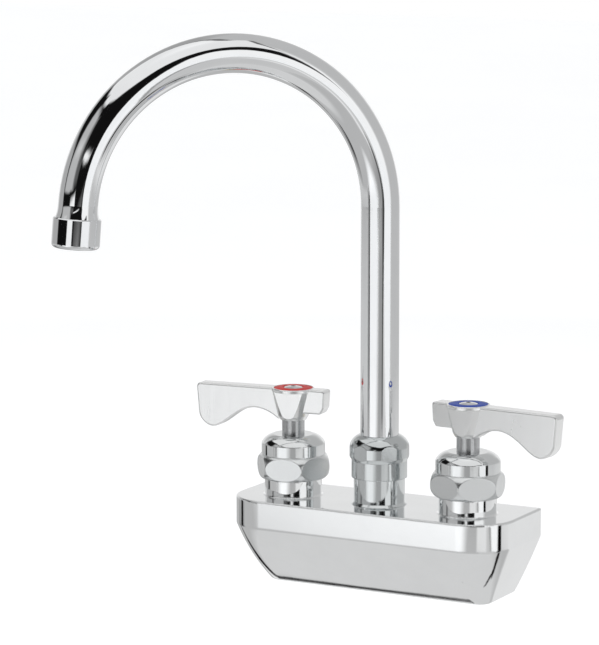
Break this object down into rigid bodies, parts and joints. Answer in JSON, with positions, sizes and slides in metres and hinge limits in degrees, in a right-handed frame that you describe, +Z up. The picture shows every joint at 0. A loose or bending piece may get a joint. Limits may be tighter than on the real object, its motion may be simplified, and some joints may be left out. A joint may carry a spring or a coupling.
{
  "type": "wall-mounted gooseneck faucet",
  "caption": "Chrome wall faucet with a high swivelling gooseneck spout, two quarter-turn lever handles with colour rings and a cast body on threaded inlet shanks.",
  "frame": {"origin": "on the wall face of the body, halfway between the two inlet shanks, at the height of their axes", "axes": "+X to the right along the wall for a person facing the faucet, +Y into the wall, +Z up"},
  "size_m": [0.2272, 0.1877, 0.2917],
  "materials": {
    "body_chrome": "mirror polished, chrome plated brass casting",
    "hub_chrome": "mirror polished",
    "nut_chrome": "mirror polished",
    "tube_chrome": "mirror polished, drawn tube",
    "collar_chrome": "mirror polished",
    "bonnet_chrome": "polished, chrome plated turned brass",
    "handle_chrome": "polished, chrome plated zinc casting",
    "screw_chrome": "polished",
    "stem_steel": "fine turned",
    "shank_brass": "machined",
    "brass": "machined",
    "zinc_steel": "zinc plated",
    "ceramic": "lapped ceramic, off-white",
    "rubber": "black",
    "fibre": "red-brown vulcanised fibre",
    "glide_plastic": "natural white acetal",
    "aerator_plastic": "light grey acetal",
    "hot_red": "glossy",
    "cold_blue": "glossy"
  },
  "bodies": {
    "fixed": {"faucet_body": "body_chrome", "spout_hub": "hub_chrome", "swivel_nut": "nut_chrome", "lower_glide_ring": "glide_plastic", "upper_glide_ring": "glide_plastic", "hot_inlet_shank": "shank_brass", "hot_shank_washer": "zinc_steel", "hot_lock_nut": "shank_brass", "hot_bonnet": "bonnet_chrome", "hot_cartridge_gasket": "fibre", "hot_cartridge_housing": "brass", "hot_fixed_disc": "ceramic", "hot_seat_seal": "rubber", "cold_inlet_shank": "shank_brass", "cold_shank_washer": "zinc_steel", "cold_lock_nut": "shank_brass", "cold_bonnet": "bonnet_chrome", "cold_cartridge_gasket": "fibre", "cold_cartridge_housing": "brass", "cold_fixed_disc": "ceramic", "cold_seat_seal": "rubber"},
    "hot_lever": {"hot_lever_handle": "handle_chrome", "hot_handle_screw": "screw_chrome", "hot_index_ring": "hot_red", "hot_stem": "stem_steel", "hot_stem_o_ring": "rubber", "hot_moving_disc": "ceramic"},
    "cold_lever": {"cold_lever_handle": "handle_chrome", "cold_handle_screw": "screw_chrome", "cold_index_ring": "cold_blue", "cold_stem": "stem_steel", "cold_stem_o_ring": "rubber", "cold_moving_disc": "ceramic"},
    "spout": {"spout_tube": "tube_chrome", "spout_ferrule": "brass", "spout_o_rings": "rubber", "outlet_adapter": "brass", "aerator_housing": "collar_chrome", "aerator_washer": "rubber", "aerator_insert": "aerator_plastic"}
  },
  "joints": [
    {"name": "hot_handle_turn", "type": "hinge", "parent": "fixed", "child": "hot_lever", "pos_m": [-0.0508, -0.0288, 0.0769], "axis": [0, 0, 1], "range_deg": [0, 90]},
    {"name": "cold_handle_turn", "type": "hinge", "parent": "fixed", "child": "cold_lever", "pos_m": [0.0508, -0.0288, 0.0769], "axis": [0, 0, 1], "range_deg": [-90, 0]},
    {"name": "spout_swivel", "type": "hinge", "parent": "fixed", "child": "spout", "pos_m": [0, -0.0288, 0.045], "axis": [0, 0, 1], "range_deg": [-46, 133]}
  ]
}
